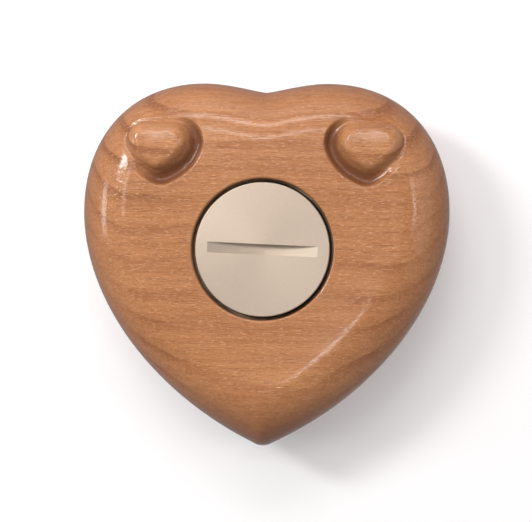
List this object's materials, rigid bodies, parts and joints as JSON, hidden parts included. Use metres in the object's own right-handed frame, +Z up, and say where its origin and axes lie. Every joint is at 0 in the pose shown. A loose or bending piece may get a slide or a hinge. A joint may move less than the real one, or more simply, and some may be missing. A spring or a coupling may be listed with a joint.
{
  "type": "wind up music box",
  "caption": "Heart-shaped wooden music box with a rounded edge, carved hearts and a recessed coin-slot winding disc over a pinned cylinder movement.",
  "frame": {"origin": "centre of the box round the object, on the plane of the felt pads' lower faces", "axes": "+Z up through the carved face and the disc, +Y from the heart's tip to its cleft, +X to the right lobe seen from above"},
  "size_m": [0.1, 0.0988, 0.0396],
  "materials": {
    "wood": "clear gloss lacquer over cherry, grain along X",
    "plywood": "bare sanded birch",
    "pad_felt": "pressed felt",
    "brass_screw": "bright",
    "black_felt": "pressed felt",
    "steel_screw": "zinc plated",
    "cast_zinc": "die cast",
    "brass": "turned",
    "plated_steel": "nickel plated",
    "spring_steel": "blued",
    "comb_steel": "ground",
    "lead": "dull",
    "nickel_disc": "champagne nickel, satin",
    "arbor_steel": "ground",
    "nylon": "moulded"
  },
  "bodies": {
    "case": {"body": "wood", "base_plate": "plywood", "foot_pad_1": "pad_felt", "foot_pad_2": "pad_felt", "foot_pad_3": "pad_felt", "foot_pad_4": "pad_felt", "base_screws": "brass_screw", "recess_felt": "black_felt", "movement_screws": "steel_screw", "bedplate": "cast_zinc", "arbor_bush": "brass", "spring_case": "plated_steel", "mainspring": "spring_steel", "comb": "comb_steel", "comb_weights": "lead", "comb_screws": "steel_screw", "governor_frame": "plated_steel", "governor_screw": "steel_screw"},
    "drive": {"great_wheel": "brass", "clutch_spring": "spring_steel"},
    "winder": {"winding_disc": "nickel_disc", "winding_arbor": "arbor_steel"},
    "cylinder": {"cylinder_barrel": "brass", "cylinder_pins": "arbor_steel", "cylinder_cap_inner": "brass", "cylinder_cap_outer": "brass", "cylinder_arbor": "arbor_steel", "cylinder_pinion": "brass", "cylinder_gear": "nylon"},
    "governor": {"governor_arbor": "arbor_steel", "governor_pinion": "brass", "worm_wheel": "nylon"},
    "air_brake": {"worm": "arbor_steel", "fly": "nylon"}
  },
  "joints": [
    {"name": "great_wheel_spin", "type": "hinge", "parent": "case", "child": "drive", "pos_m": [0, 0.004, 0.025], "axis": [0, 0, 1], "continuous": true},
    {"name": "winding_turn", "type": "hinge", "parent": "drive", "child": "winder", "pos_m": [0, 0.004, 0.025], "axis": [0, 0, 1], "range_deg": [-1260, 0]},
    {"name": "cylinder_spin", "type": "hinge", "parent": "case", "child": "cylinder", "pos_m": [0, 0.004, 0.0175], "axis": [0.9511, 0.309, 0], "continuous": true},
    {"name": "governor_spin", "type": "hinge", "parent": "case", "child": "governor", "pos_m": [0.00278, -0.00456, 0.0175], "axis": [0.9511, 0.309, 0], "continuous": true},
    {"name": "fly_spin", "type": "hinge", "parent": "case", "child": "air_brake", "pos_m": [0.03495, 0.01068, 0.025], "axis": [0, 0, 1], "continuous": true}
  ],
  "couplings": [
    {"joint": "cylinder_spin", "follows": "great_wheel_spin", "ratio": -4},
    {"joint": "governor_spin", "follows": "great_wheel_spin", "ratio": 12},
    {"joint": "fly_spin", "follows": "great_wheel_spin", "ratio": -240}
  ]
}
